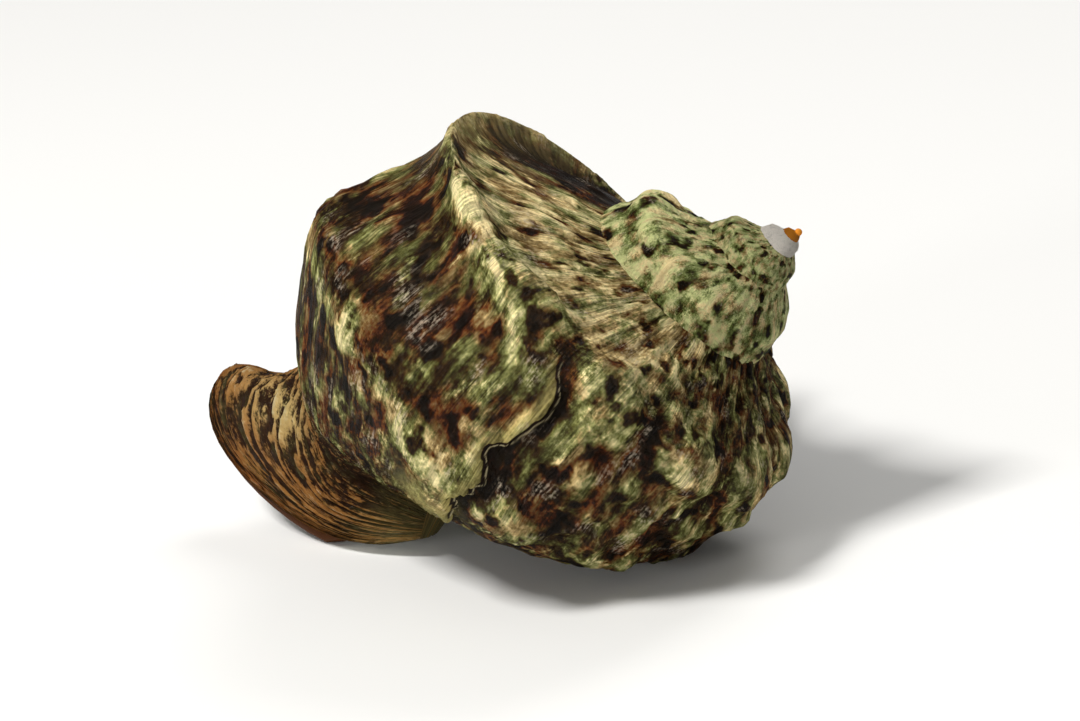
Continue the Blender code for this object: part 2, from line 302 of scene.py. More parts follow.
place = np.arange(rings.shape[1]) / (OUTER_POINTS - 1)
root = smooth_step(*RIM_ROOT_ALONG, place)
onward = np.cross(ways[0], (0, 0, 1))
shift = onward * (RIM_LIP_MM + (RIM_ROOT_MM - RIM_LIP_MM) * root)[:, None]
for i in range(RIM_STATIONS):
    hollow_rings[i] += shift * (1 - i / RIM_STATIONS)
rim_outer = rings[0] + shift
rim_outer = rim_outer + (hollow_rings[0] - rim_outer) * RIM_TURNED_IN
rim_middle = (rim_outer + hollow_rings[0]) / 2
rim_half = (rim_outer - hollow_rings[0]) / 2
rim_turns = np.linspace(0, math.pi, RIM_LOOPS + 2)[1:-1]
rim_push = onward * np.linalg.norm(rim_half, axis=1, keepdims=True) * RIM_ROUND
rim_rings = [rim_middle + rim_half * math.cos(a) + rim_push * math.sin(a) for a in rim_turns]
print("lip thickness in mm:", round(float(2 * np.linalg.norm(rim_half, axis=1)[:OUTER_POINTS].mean()), 2))


def bead_rings():
    """The bead along the lip's edge, from the seam to the axis."""
    path = rim_middle[:OUTER_POINTS]
    ahead = np.gradient(path, axis=0)
    ahead /= np.linalg.norm(ahead, axis=1, keepdims=True)
    side = np.cross(ahead, (0, 0, 1))
    side /= np.linalg.norm(side, axis=1, keepdims=True)
    up = np.cross(side, ahead)
    turn = np.linspace(0, 2 * math.pi, BEAD_SIDES, endpoint=False)
    radius = BEAD_LIP_MM + (BEAD_ROOT_MM - BEAD_LIP_MM) * root[:OUTER_POINTS]
    return np.array([at + r * (np.cos(turn)[:, None] * a + np.sin(turn)[:, None] * b)
                     for at, r, a, b in zip(path, radius, side, up)])


# %% [markdown]
# ## The unrolled shell
# The skin is first laid out as a flat strip: growth angle to the right, place along the growth line upward. Each
# point carries what the sweep needs to know: distance from the axis, depth, growth angle and lag. It also
# carries the way the shell would measure it, so that patterns can follow the growth lines on every whorl.

# %% Strip
FLOAT_DATA = ("radius", "depth", "grow", "lag", "along", "outer", "inner", "rim", "size")


class Strip:
    """Points, faces and what each point carries, gathered before the mesh is made."""

    def __init__(self):
        self.points = 0
        self.faces = []
        self.data = {name: [] for name in FLOAT_DATA}

    def ring(self, xyz, deg, **given):
        """Add one ring of points, given where they will stand. Returns their numbers."""
        count = len(xyz)
        azimuth = np.degrees(np.arctan2(xyz[:, 1], xyz[:, 0]))
        lag = (azimuth - LIP_AZIMUTH_DEG + deg + 180) % 360 - 180
        row = {"radius": np.hypot(xyz[:, 0], xyz[:, 1]) * MM, "depth": -xyz[:, 2] * MM, "grow": deg,
               "lag": lag, "along": 0, "outer": 0, "inner": 0, "rim": 0, "size": growth(deg), **given}
        for name in FLOAT_DATA:
            self.data[name].append(np.broadcast_to(np.asarray(row[name], float), count))
        numbers = np.arange(self.points, self.points + count)
        self.points += count
        return numbers

    def bridge(self, ring, following):
        """Join two rings by a band of faces."""
        for i in range(len(ring)):
            k = (i + 1) % len(ring)
            self.faces.append((ring[i], following[i], following[k], ring[k]))

    def close(self, ring, xyz, deg, flip=False, **given):
        """Close a ring by a fan of faces round a middle point."""
        hub = self.ring(np.array([xyz], float), deg, **given)[0]
        for i in range(len(ring)):
            k = (i + 1) % len(ring)
            self.faces.append((hub, ring[k], ring[i]) if flip else (hub, ring[i], ring[k]))

    def tube(self, tube_rings, deg, **given):
        """Add rings joined to a closed tube."""
        made = [self.ring(ring, deg, **given) for ring in tube_rings]
        self.close(made[0], tube_rings[0].mean(axis=0), deg, **given)
        for ring, following in zip(made, made[1:]):
            self.bridge(ring, following)
        self.close(made[-1], tube_rings[-1].mean(axis=0), deg, flip=True, **given)


# %% [markdown]
# Now the loops go into the strip: the outside from the first whorl to the lip, round the rim, and back in along
# the hollow, as one skin. The bead goes on as a tube of its own. The relief will fade out at the seam and at the
# axis, so each point of the outside also carries how open it lies.

# %% Skin and bead
SEAM_CLEARS_ALONG = 0.04
AXIS_CALM_ALONG = 0.93
AXIS_CALM = 0.8

# The hidden side of a loop counts as the end of the growth line
along_loop = np.clip(place, 0, 1)
open_share = smooth_step(0.0, SEAM_CLEARS_ALONG, place) \
    * (1 - AXIS_CALM * smooth_step(AXIS_CALM_ALONG, 1.0, place))
open_share[OUTER_POINTS + CORE_POINTS:] = 0

strip = Strip()
outer_made = [strip.ring(ring, deg, along=along_loop, outer=open_share) for deg, ring in zip(DEGS, rings)]
rim_made = [strip.ring(ring, 0.0, along=along_loop, rim=1 - root, inner=root) for ring in [rim_outer, *rim_rings]]
inner_made = [strip.ring(ring, deg, along=along_loop, inner=1.0) for deg, ring in zip(hollow_degs, hollow_rings)]

skin = outer_made[::-1] + rim_made + inner_made
for ring, following in zip(skin, skin[1:]):
    strip.bridge(ring, following)
strip.close(outer_made[-1], (0, 0, 0), OLDEST_DEG, along=0.5, outer=1.0)
strip.close(inner_made[-1], hollow_rings[-1].mean(axis=0), HOLLOW_DEG, flip=True, inner=1.0)
strip.tube(bead_rings(), 0.0, rim=1.0)
print("points in the strip:", strip.points, "faces:", len(strip.faces))

# %% [markdown]
# The pillar is the solid axis that the whorls wind round. The skin closes over it, so it stays out of sight, and
# it keeps the axis filled where the two sides of the skin come close. The worn tip of the spire is a small ball.
# Both are turned from a profile, as on a lathe.

# %% Pillar and tip
# radius and depth below the tip, in mm
PILLAR = ((4, 62), (4.5, 90), (5, 118), (4.5, 128), (3.5, 134), (1.5, 138))
PILLAR_LEAN_MM = (-1.0, 2.0)
PILLAR_RINGS = 40
LATHE_SIDES = 40
TIP_RADIUS_MM = 1.1
TIP_RINGS = 12
TIP_POLE_RAD = 0.12


def lathe_ring(radius, depth, lean=(0, 0)):
    """A level ring round the axis, in mm, leaned away from it."""
    turn = np.linspace(0, 2 * math.pi, LATHE_SIDES, endpoint=False)
    return np.stack([lean[0] + radius * np.cos(turn), lean[1] + radius * np.sin(turn),
                     np.full(LATHE_SIDES, -depth)], 1)


pillar_depths = np.linspace(PILLAR[0][1], PILLAR[-1][1], PILLAR_RINGS)
pillar_radii = cubic([depth for _, depth in PILLAR], [radius for radius, _ in PILLAR], pillar_depths)
pillar_leans = np.linspace((0, 0), PILLAR_LEAN_MM, PILLAR_RINGS)
strip.tube([lathe_ring(*row) for row in zip(pillar_radii, pillar_depths, pillar_leans)], 0.0, inner=1.0)

tip_angles = np.linspace(TIP_POLE_RAD, math.pi - TIP_POLE_RAD, TIP_RINGS)
tip_rings = [lathe_ring(TIP_RADIUS_MM * math.sin(a), TIP_RADIUS_MM * (1 - math.cos(a))) for a in tip_angles]
strip.tube(tip_rings, OLDEST_DEG, outer=1.0, along=0.5)
print("points with pillar and tip:", strip.points)

# %% [markdown]
# The strip becomes a mesh that lies flat, with everything its points carry as attributes. The finish measures in
# mm, so the place on the strip is also kept as a vector in mm at the size of the newest whorl.

# %% Flat mesh


def strip_mesh():
    mesh = bpy.data.meshes.new("turban_shell")
    data = {name: np.concatenate(rows) for name, rows in strip.data.items()}
    level = np.zeros(strip.points)
    flat = np.stack([data["grow"] * MM, data["along"] * SECTION_LENGTH_MM * MM, level], 1)
    mesh.from_pydata(flat.tolist(), [], [tuple(int(i) for i in face) for face in strip.faces])
    for name in FLOAT_DATA:
        layer = mesh.attributes.new(name, "FLOAT", "POINT")
        layer.data.foreach_set("value", data[name].astype(np.float32))
    measured = np.stack([np.radians(data["grow"]) * KEEL_RADIUS_MM, data["along"] * SECTION_LENGTH_MM, level], 1)
    layer = mesh.attributes.new("measured", "FLOAT_VECTOR", "POINT")
    layer.data.foreach_set("vector", measured.astype(np.float32).ravel())
    mesh.polygons.foreach_set("use_smooth", [True] * len(mesh.polygons))
    return mesh


shell = bpy.data.objects.new("shell", strip_mesh())
bpy.context.scene.collection.objects.link(shell)
print("flat mesh:", len(shell.data.vertices), "points,", len(shell.data.attributes), "attributes")

# %% [markdown]
# ## Helpers for node trees
# The sweep and the finish are both node trees. A few helpers keep them readable: one adds a node with its
# settings and inputs, and the others add a calculation, a product, a weighted sum, a smooth step and a bell curve.

# %% Node helpers


def add(tree, kind, inputs=None, **settings):
    """Add a node. An input is a value, or the socket that feeds it."""
    node = tree.nodes.new(kind)
    for name, value in settings.items():
        setattr(node, name, value)
    for name, value in (inputs or {}).items():
        if isinstance(value, bpy.types.NodeSocket):
            tree.links.new(value, node.inputs[name])
        else:
            node.inputs[name].default_value = value
    return node


def calc(tree, operation, *values):
    """Add a Math node and return its result."""
    return add(tree, "ShaderNodeMath", dict(enumerate(values)), operation=operation).outputs[0]


def product(tree, *values):
    """Multiply the values one after another."""
    made = values[0]
    for value in values[1:]:
        made = calc(tree, "MULTIPLY", made, value)
    return made


def plus(tree, value, share, amount=1.0):
    """Add an amount, times a share, to a value."""
    return calc(tree, "MULTIPLY_ADD", share, amount, value)


def ramped(tree, value, low, high, to_low=0.0, to_high=1.0):
    """Add a smooth step from one value to another."""
    node = add(tree, "ShaderNodeMapRange", {"Value": value, "From Min": low, "From Max": high,
                                            "To Min": to_low, "To Max": to_high}, interpolation_type="SMOOTHSTEP")
    return node.outputs[0]


def bell(tree, value, middle, reach):
    """Add a bell curve round a middle value."""
    away = calc(tree, "DIVIDE", calc(tree, "SUBTRACT", value, middle), reach)
    return calc(tree, "EXPONENT", product(tree, away, away, -1.0))


# %% [markdown]
# ## Noise that follows the growth lines
# Nothing on a shell repeats exactly, so every feature has its own noise. It reads the place as the shell would
# measure it, in mm, and most of it is drawn out along the growth lines, as the snail lays the shell down. One
# table holds the sizes, so it shows at a glance which features are fine and which are broad.

# %% Noises
# name: size across the growth lines and along them in mm, seed, detail, roughness
NOISES = {
    # shape
    "ridges": (3.4, 40.0, 0.0, 2.0, 0.7),
    "broad ridges": (13.0, 90.0, 5.0, 2.0, 0.5),
    "lumps": (18.0, 21.0, 9.0, 2.0, 0.5),
    "dents": (7.0, 9.0, 11.0, 1.0, 0.5),
    "knob heights": (30.0, 60.0, 14.0, 2.0, 0.5),
    "layer bends": (16.0, 38.0, 21.0, 3.0, 0.5),
    "layer heights": (12.0, 30.0, 24.0, 2.0, 0.5),
    # the scar's line bends along its own length only, so across it this noise is as good as level
    "scar wander": (9000.0, 26.0, 33.0, 2.0, 0.45),
    # colour
    "streaks": (0.9, 12.0, 2.0, 3.0, 0.7),
    "speckles": (1.3, 1.7, 19.0, 3.0, 0.6),
    "flecks": (3.0, 5.5, 3.0, 4.0, 0.62),
    "clouds": (8.0, 11.0, 4.0, 3.0, 0.55),
    "blotches": (9.5, 12.0, 11.0, 3.0, 0.5),
    "pale patches": (9.0, 13.0, 15.0, 3.0, 0.5),
    "tones": (13.0, 20.0, 1.0, 3.0, 0.5),
    "threads": (0.75, 34.0, 5.0, 3.0, 0.7),
    "thread fading": (16.0, 18.0, 27.0, 2.0, 0.5),
    "scuffs": (13.0, 15.0, 41.0, 2.0, 0.5),
    "sheen": (22.0, 30.0, 8.0, 2.0, 0.5),
    # small bumps
    "hairlines": (0.8, 9.0, 6.0, 3.0, 0.7),
    "grains": (2.2, 2.8, 7.0, 4.0, 0.6),
    "small knobbles": (5.0, 5.5, 17.0, 2.0, 0.5),
}


def noise(tree, at, name, spread=1.0, seed=None):
    """Add one of the noises, from -1 to 1. A seed from outside is added to its own."""
    across, length, own_seed, detail, rough = NOISES[name]
    scaled = add(tree, "ShaderNodeVectorMath", {
        0: at.measured, 1: (1 / (across * spread), 1 / (length * spread), 0)}, operation="MULTIPLY")
    made = add(tree, "ShaderNodeTexNoise", {
        "Vector": scaled.outputs[0], "W": own_seed if seed is None else calc(tree, "ADD", seed, own_seed),
        "Scale": 1.0, "Detail": detail, "Roughness": rough}, noise_dimensions="4D")
    return calc(tree, "MULTIPLY_ADD", made.outputs[0], 2.0, -1.0)


print("noises:", len(NOISES))

# %% [markdown]
# ## Ridges and lumps
# Geometry Nodes will roll the strip up into the shell and then push the outside in and out along its normal. The
# push adds up what the snail leaves behind, and the amounts are inputs of the tree, so each can be tried alone.
# First come the growth ridges, which run along every growth line, and the lumps of the older, rougher part.

# %% Amounts, ridges and lumps
# Heights in mm at the newest whorl, angles in degrees
SWEEP_INPUTS = {
    "Lip azimuth": LIP_AZIMUTH_DEG,
    "Ridges": 1.4,
    "Lumps": 8.0,
    "Knobs": 14.0,
    "Knob step": 30.0,
    "Small knobs": 4.5,
    "Crest": 4.4,
    "Spout layers": 2.0,
    "Scar": 3.6,
    "Seed": 3.0,
}
BROAD_SHARE = 0.8
DENT_SHARE = 0.25


def ridges_and_lumps(tree, given, at):
    """The ridges as they are and at their height, the lumps, and how far the rough, older part is reached."""
    bare = noise(tree, at, "ridges", seed=given["Seed"])
    ridges = plus(tree, bare, noise(tree, at, "broad ridges", seed=given["Seed"]), BROAD_SHARE)
    older = product(tree, ramped(tree, at.grow, -190.0, -225.0, 0.45, 1.0),
                    ramped(tree, at.grow, -380.0, -430.0, 1.0, 0.5),
                    ramped(tree, at.along, 0.42, 0.54, 1.0, 0.3))
    lumps = plus(tree, noise(tree, at, "lumps", seed=given["Seed"]),
                 noise(tree, at, "dents", seed=given["Seed"]), DENT_SHARE)
    return bare, product(tree, ridges, given["Ridges"]), product(tree, lumps, older, given["Lumps"]), older


# %% [markdown]
# ## Knobs and crest
# Both keels carry rows of knobs, large on the shoulder and lower on the keel below it, with rows of small ones
# beside them. They start on the spire and die away toward the lip, where the shoulder runs on as one rounded
# crest. A bell curve across the keel gives each its width, a cosine round the whorl spaces them, and a noise
# makes each of another height.

# %% Knobs and crest
KNOB_AT_DEG = 216.0
KNOBS_AT, KNOBS_REACH = ALONG[SHOULDER] + 0.01, 0.050
LOW_KNOBS_AT, LOW_KNOBS_REACH = ALONG[LOW_KEEL], 0.040
KNOB_USUAL, KNOB_VARIES = 0.85, 0.7
SMALL_KNOB_STEP_DEG = 13.0
LUMPS_SHIFT_KNOBS = 0.12
# place along the growth line, reach
SMALL_KNOB_ROWS = ((0.33, 0.028), (0.55, 0.030))
CREST_AT = ALONG[SHOULDER] + 0.004
CREST_REACH, HOLLOW_REACH, CREST_TOP_REACH = 0.040, 0.085, 0.016
CREST_TOP_LOWERED = 0.5


def in_a_row(tree, turned):
    """Rise to 1 at each whole number, and fall to 0 halfway between."""
    wave = calc(tree, "COSINE", calc(tree, "MULTIPLY", turned, 2 * math.pi))
    return calc(tree, "MULTIPLY_ADD", wave, 0.5, 0.5)


def knobs_and_crest(tree, given, at, lumps, older):
    """The push of the large knobs, the small ones and the crest."""
    phase = calc(tree, "DIVIDE", calc(tree, "ADD", at.grow, KNOB_AT_DEG), given["Knob step"])
    uneven = plus(tree, KNOB_USUAL, noise(tree, at, "knob heights", seed=given["Seed"]), KNOB_VARIES)
    low_keel = product(tree, bell(tree, at.along, LOW_KNOBS_AT, LOW_KNOBS_REACH),
                       ramped(tree, at.grow, -225.0, -260.0, 0.6, 0.25))
    keels = calc(tree, "ADD", bell(tree, at.along, KNOBS_AT, KNOBS_REACH), low_keel)
    started = product(tree, ramped(tree, at.grow, -620.0, -420.0, 0.15, 1.0),
                      ramped(tree, at.grow, -150.0, -200.0, 0.08, 1.0))
    knobs = product(tree, in_a_row(tree, phase), uneven, keels, started, given["Knobs"])

    phase = plus(tree, calc(tree, "DIVIDE", at.grow, SMALL_KNOB_STEP_DEG), lumps, LUMPS_SHIFT_KNOBS)
    rows = calc(tree, "ADD", *[bell(tree, at.along, middle, reach) for middle, reach in SMALL_KNOB_ROWS])
    small = product(tree, in_a_row(tree, phase), rows, uneven, older)
    knobs = plus(tree, knobs, small, given["Small knobs"])

    # The crest stands out more where both its sides are sunk, and its top is lowered to round it
    sides = product(tree, bell(tree, at.along, CREST_AT, HOLLOW_REACH),
                    ramped(tree, at.grow, -130.0, -165.0, 0.72, 0.20))
    sides = plus(tree, sides, bell(tree, at.along, CREST_AT, CREST_TOP_REACH), CREST_TOP_LOWERED)
    crest = calc(tree, "SUBTRACT", bell(tree, at.along, CREST_AT, CREST_REACH), sides)
    crest = product(tree, crest, ramped(tree, at.grow, -205.0, -172.0))
    return plus(tree, knobs, crest, given["Crest"])


# %% [markdown]
# ## Layers of the spout
# The spout is rough, because each new edge of the lip was laid over the last one and stands off it. Saw teeth in
# the growth angle give such layers: each climbs slowly and drops at once. A noise bends them, or they would look
# turned on a lathe.

# %% Spout layers
LAYER_STEP_DEG = 6.5
LAYER_BEND = 2.4
LAYER_CURVE = 1.6
# The teeth run from 0 to 1, and lowering them keeps the layers about the surface
LAYER_LOWERED = 0.4
LAYER_USUAL = 0.8


def spout_layers(tree, given, at):
    """The layers, and the share of the spout."""
    outside = product(tree, ramped(tree, at.grow, -135.0, -60.0), ramped(tree, at.along, 0.50, 0.64))
    under = product(tree, ramped(tree, at.grow, -175.0, -115.0), ramped(tree, at.along, 0.62, 0.74))
    on_spout = calc(tree, "MAXIMUM", outside, under)
    teeth = plus(tree, calc(tree, "DIVIDE", at.grow, LAYER_STEP_DEG),
                 noise(tree, at, "layer bends", seed=given["Seed"]), LAYER_BEND)
    teeth = calc(tree, "SUBTRACT", calc(tree, "POWER", calc(tree, "FRACT", teeth), LAYER_CURVE),
                 LAYER_LOWERED)
    heights = calc(tree, "ADD", noise(tree, at, "layer heights", seed=given["Seed"]), LAYER_USUAL)
    return product(tree, teeth, heights, on_spout), on_spout


# %% [markdown]
# ## The scar
# Once the lip broke off and the snail mended it. The newer shell starts with a wavy, raised edge, and a crack runs
# behind it. The line is one growth angle with a slow wander, and the finish reads the same line later, so the dark
# crack, painted as the shadow under the raised edge, lies where the edge is.

# %% Scar
SCAR_DEG = -204.0
SCAR_WANDER_DEG = 12.0


def scar_line(tree, at):
    """Growth angle from the wandering line of the scar, and 1 where the scar runs."""
    wander = product(tree, noise(tree, at, "scar wander"), SCAR_WANDER_DEG)
    from_scar = calc(tree, "SUBTRACT", calc(tree, "SUBTRACT", at.grow, SCAR_DEG), wander)
    return from_scar, product(tree, ramped(tree, at.along, 0.24, 0.29), ramped(tree, at.along, 0.66, 0.60))


def scar_relief(tree, given, at):
    """The raised edge, the crack behind it and the sunk shell that is older."""
    # Angles count from the scar's line, positive toward the lip
    from_scar, reach = scar_line(tree, at)
    newer = product(tree, ramped(tree, from_scar, -0.5, 0.4), ramped(tree, from_scar, 18.0, 1.0))
    crack = bell(tree, from_scar, -0.8, 0.75)
    older = product(tree, ramped(tree, from_scar, 0.2, -0.6), ramped(tree, from_scar, -9.0, -1.5))
    sunk = plus(tree, product(tree, crack, 0.5), older, 0.4)
    return product(tree, calc(tree, "SUBTRACT", newer, sunk), reach, given["Scar"])


# %% [markdown]
# ## The sweep
# Now the tree itself. Each point of the strip goes to its distance from the axis, turned by its growth angle, and
# is pushed along its normal by the sum of the pieces above. The push is held between a deepest and a highest
# value, so the relief never breaks through the thin wall at the lip, and it grows with the whorls.

# %% Sweep tree
SINK_MM = 1.4
DEEPEST_MM = -3.0
DEEPEST_AT_LIP_MM = -1.2
HIGHEST_MM = 4.3
HIGHEST_ON_KEEL_MM = 5.6
# How softly the push runs into the deepest and the highest value
DEEP_BLEND_MM, HIGH_BLEND_MM = 1.0, 1.5


def stored(tree, geometry, name, value):
    node = add(tree, "GeometryNodeStoreNamedAttribute", {"Geometry": geometry, "Name": name},
               data_type="FLOAT", domain="POINT")
    tree.links.new(value, node.inputs["Value"])
    return node.outputs[0]


def carried(tree, name, kind="FLOAT"):
    node = add(tree, "GeometryNodeInputNamedAttribute", {"Name": name}, data_type=kind)
    return node.outputs["Attribute"]


def sweep_tree(material):
    tree = bpy.data.node_groups.new("shell_sweep", "GeometryNodeTree")
    tree.interface.new_socket("Geometry", in_out="INPUT", socket_type="NodeSocketGeometry")
    tree.interface.new_socket("Geometry", in_out="OUTPUT", socket_type="NodeSocketGeometry")
    for name in SWEEP_INPUTS:
        tree.interface.new_socket(name, in_out="INPUT", socket_type="NodeSocketFloat")
    given = tree.nodes.new("NodeGroupInput").outputs
    at = SimpleNamespace(grow=carried(tree, "grow"), along=carried(tree, "along"),
                         measured=carried(tree, "measured", "FLOAT_VECTOR"))

    azimuth = calc(tree, "ADD", calc(tree, "SUBTRACT", given["Lip azimuth"], at.grow), carried(tree, "lag"))
    azimuth = calc(tree, "RADIANS", azimuth)
    radius = carried(tree, "radius")
    rolled = add(tree, "ShaderNodeCombineXYZ", {
        "X": product(tree, radius, calc(tree, "COSINE", azimuth)),
        "Y": product(tree, radius, calc(tree, "SINE", azimuth)),
        "Z": product(tree, carried(tree, "depth"), -1.0)})
    swept = add(tree, "GeometryNodeSetPosition", {"Geometry": given["Geometry"], "Position": rolled.outputs[0]})

    bare_ridges, ridges, lumps, older = ridges_and_lumps(tree, given, at)
    knobs = knobs_and_crest(tree, given, at, lumps, older)
    layer, on_spout = spout_layers(tree, given, at)
    total = calc(tree, "ADD", calc(tree, "ADD", ridges, lumps), plus(tree, knobs, layer, given["Spout layers"]))
    total = calc(tree, "ADD", total, scar_relief(tree, given, at))
    total = calc(tree, "SUBTRACT", total, product(tree, plus(tree, 1.0, on_spout, -0.8), SINK_MM))

    deepest = ramped(tree, at.grow, -100.0, -170.0, DEEPEST_AT_LIP_MM, DEEPEST_MM)
    total = calc(tree, "SMOOTH_MAX", total, deepest, DEEP_BLEND_MM)
    highest = ramped(tree, at.along, 0.34, 0.42, HIGHEST_ON_KEEL_MM, HIGHEST_MM)
    total = calc(tree, "SMOOTH_MIN", total, highest, HIGH_BLEND_MM)
    # Nothing is raised where the next whorl covers this one, nor at the lip's very edge
    covered = product(tree, ramped(tree, at.along, 0.36, 0.42), ramped(tree, at.grow, -360.0, -368.0))
    total = product(tree, total, calc(tree, "SUBTRACT", 1.0, covered), ramped(tree, at.grow, -1.0, -14.0))
    push = product(tree, total, carried(tree, "outer"), carried(tree, "size"), MM)
    normal = add(tree, "GeometryNodeInputNormal").outputs[0]
    offset = add(tree, "ShaderNodeVectorMath", {0: normal, "Scale": push}, operation="SCALE")
    pushed = add(tree, "GeometryNodeSetPosition", {"Geometry": swept.outputs[0], "Offset": offset.outputs[0]})

    result = pushed.outputs[0]
    for name, value in (("relief", total), ("ridge", bare_ridges), ("layer", layer), ("on_spout", on_spout)):
        result = stored(tree, result, name, value)
    whole = add(tree, "GeometryNodeRealizeInstances", {"Geometry": result})
    finished = add(tree, "GeometryNodeSetMaterial", {"Geometry": whole.outputs[0], "Material": material})
    out = tree.nodes.new("NodeGroupOutput")
    tree.links.new(finished.outputs[0], out.inputs[0])
    return tree


# %% [markdown]
# ## The colours
# Under the gloss the shell is a patchwork: olive and blue-green ground, cream flecks drawn out along the growth
# lines, and dark brown blotches with rusty edges. The spout is brown and rough, the first whorls are worn white,
# the tip is orange and the inside is mother-of-pearl. An image could hold all this, but noise that reads the
# growth angle and the place along the growth line grows with the whorls, as real colour does.

# %% Colours
CRACK_SHADOW_DARK = (0.010, 0.005, 0.003)
RUST = (0.16, 0.050, 0.012)
CREAM = (0.55, 0.46, 0.26)
YELLOW_GREEN = (0.44, 0.39, 0.14)
OLIVE = (0.30, 0.25, 0.085)
SCUFFED = (0.46, 0.38, 0.28)
SEA_GREEN_TINT = (0.80, 1.02, 0.84)
WARM_TINT = (1.0, 0.95, 0.86)
TAN = (0.29, 0.125, 0.032)
YELLOW_TAN = (0.50, 0.36, 0.14)
BROWN = (0.020, 0.009, 0.004)
WORN_WHITE = (0.92, 0.86, 0.78)
TIP_ORANGE = (0.62, 0.22, 0.02)
PEARL = (0.70, 0.68, 0.62)
PEARL_GREEN = (0.42, 0.68, 0.55)
PEARL_ROSE = (0.80, 0.52, 0.48)
# From the darkest blotch to the palest fleck: place on the ramp, colour
COOL_RAMP = ((0.0, (0.005, 0.003, 0.001)), (0.22, (0.024, 0.011, 0.003)), (0.38, (0.042, 0.037, 0.011)),
             (0.55, (0.092, 0.097, 0.029)), (0.72, (0.200, 0.214, 0.080)), (0.88, (0.41, 0.40, 0.195)),
             (1.0, (0.74, 0.67, 0.38)))
WARM_RAMP = ((0.0, (0.007, 0.003, 0.001)), (0.20, (0.028, 0.008, 0.003)), (0.34, (0.105, 0.031, 0.008)),
             (0.50, (0.125, 0.068, 0.023)), (0.68, (0.215, 0.155, 0.066)), (0.86, (0.45, 0.335, 0.155)),
             (1.0, (0.78, 0.65, 0.36)))

# %% [markdown]
# A finish reads what each point of the mesh carries by its name, just as the sweep does. Four helpers make the
# rest easy to write: a colour ramp with any number of stops, a mix of two colours, a tint, and the reading.

# %% Colour helpers


def colour_ramp(tree, value, stops):
    """Add a colour ramp with the given stops."""
    node = add(tree, "ShaderNodeValToRGB", {"Fac": value})
    while len(node.color_ramp.elements) < len(stops):
        node.color_ramp.elements.new(0.5)
    for element, (place_on_ramp, colour) in zip(node.color_ramp.elements, stops):
        element.position = place_on_ramp
        element.color = (*colour, 1.0)
    return node.outputs["Color"]


def blended(tree, share, below, above):
    """Mix two colours. Each is a colour or the socket that gives it."""
    node = add(tree, "ShaderNodeMix", {"Factor": share}, data_type="RGBA")
    for name, colour in (("A", below), ("B", above)):
        socket = [s for s in node.inputs if s.name == name and s.type == "RGBA"][0]
        if isinstance(colour, bpy.types.NodeSocket):
            tree.links.new(colour, socket)
        else:
            socket.default_value = (*colour, 1.0)
    return [s for s in node.outputs if s.type == "RGBA"][0]


def tinted(tree, colour, tint):
    """Multiply a colour by a tint."""
    return add(tree, "ShaderNodeVectorMath", {0: colour, 1: tint}, operation="MULTIPLY").outputs[0]


def read(tree, name, output="Fac"):
    return add(tree, "ShaderNodeAttribute", attribute_name=name).outputs[output]


# %% [markdown]
# ## Where the finish changes
# A shell is not mottled alike all over. The sloping ramp, the crest and the spire are pale, and the far wall
# behind the arch is dark. Some places hold painted light: a painted highlight along the low keel, painted light
# that lifts the shade just under it, and painted shade on the sunk shell behind the scar. Each place is a share
# from 0 to 1, made of smooth steps in growth angle and in the place along the growth line, and a table says how
# much lighter each one is.

# %% Places
LIGHTER = {"ramp": 0.52, "crest": 0.46, "arch": 0.15, "far wall": -0.42, "spire": 0.50, "light under edge": 0.10,
           "low keel highlight": 0.30, "shade behind scar": -0.42}
SHOULDER_AT, LOW_KEEL_AT = ALONG[SHOULDER], ALONG[LOW_KEEL]


def places(tree, at):
    """The share of each place that has its own lightness. A bell has a middle and a reach."""
    def steps(*rows):
        """Multiply smooth steps. Each row is a value, where it starts and ends, and what it gives there."""
        return product(tree, *[ramped(tree, *row) for row in rows])

    return {
        "ramp": steps((at.along, 0.20, 0.15), (at.grow, -100.0, -130.0), (at.grow, -265.0, -205.0, 0.2, 1.0)),
        "crest": product(tree, bell(tree, at.along, SHOULDER_AT, 0.042), steps((at.grow, -192.0, -168.0))),
        "arch": product(tree, bell(tree, at.along, SHOULDER_AT, 0.045),
                        steps((at.grow, -140.0, -120.0), (at.grow, -60.0, -90.0))),
        "far wall": steps((at.along, 0.20, 0.17), (at.grow, -118.0, -100.0)),
        "spire": steps((at.grow, -385.0, -430.0)),
        # Painted light that lifts the shade under the low keel
        "light under edge": product(tree, bell(tree, at.along, 0.60, 0.05),
                              steps((at.grow, -105.0, -125.0), (at.grow, -205.0, -190.0))),
        # Painted highlight along the edge of the low keel
        "low keel highlight": product(tree, bell(tree, at.along, LOW_KEEL_AT, 0.022), steps((at.grow, -215.0, -190.0))),
        # Painted shade on the sunk shell behind the scar's raised edge
        "shade behind scar": product(tree, steps((at.from_scar, 0.2, -0.4), (at.from_scar, -8.0, -1.5)), at.scar_reach),
    }


# %% [markdown]
# ## The mottled ground
# Several noises add up to one lightness and one hue. Clouds make the broad patches, blotches darken it and pale
# patches lighten it, and streaks, flecks and speckles break every border. Raised shell is painted a little paler,
# a painted highlight on the tops of knobs and ridges. The lightness then picks a colour from two ramps, a cool and
# a warm one, and the hue mixes them.
# The spire has the same pattern at a larger scale, because its whorls are small.

# %% Mottling
SPIRE_SPREAD = 2.2
STREAK_SHARE, FLECK_SHARE, SPECKLE_SHARE = 0.22, 0.55, 0.40
CLOUD_SHARE = 1.1
# How far the broken edge frays the blotches, the pale patches and the hue
BLOTCH_FRAYED, PALE_FRAYED, HUE_FRAYED = 0.35, 0.5, 0.45
PALE_AMOUNT, BLOTCH_AMOUNT = 0.40, -0.74
RUSTY_AMOUNT = 0.17
RAMP_WARMER, SPIRE_WARMER = 0.11, -0.08
RAISED_HIGHLIGHT_SHARE, RAISED_UP_TO_MM, RAISED_BLEND_MM = 0.095, 2.6, 1.5
DARKEST, LIGHTEST = -0.66, 0.76


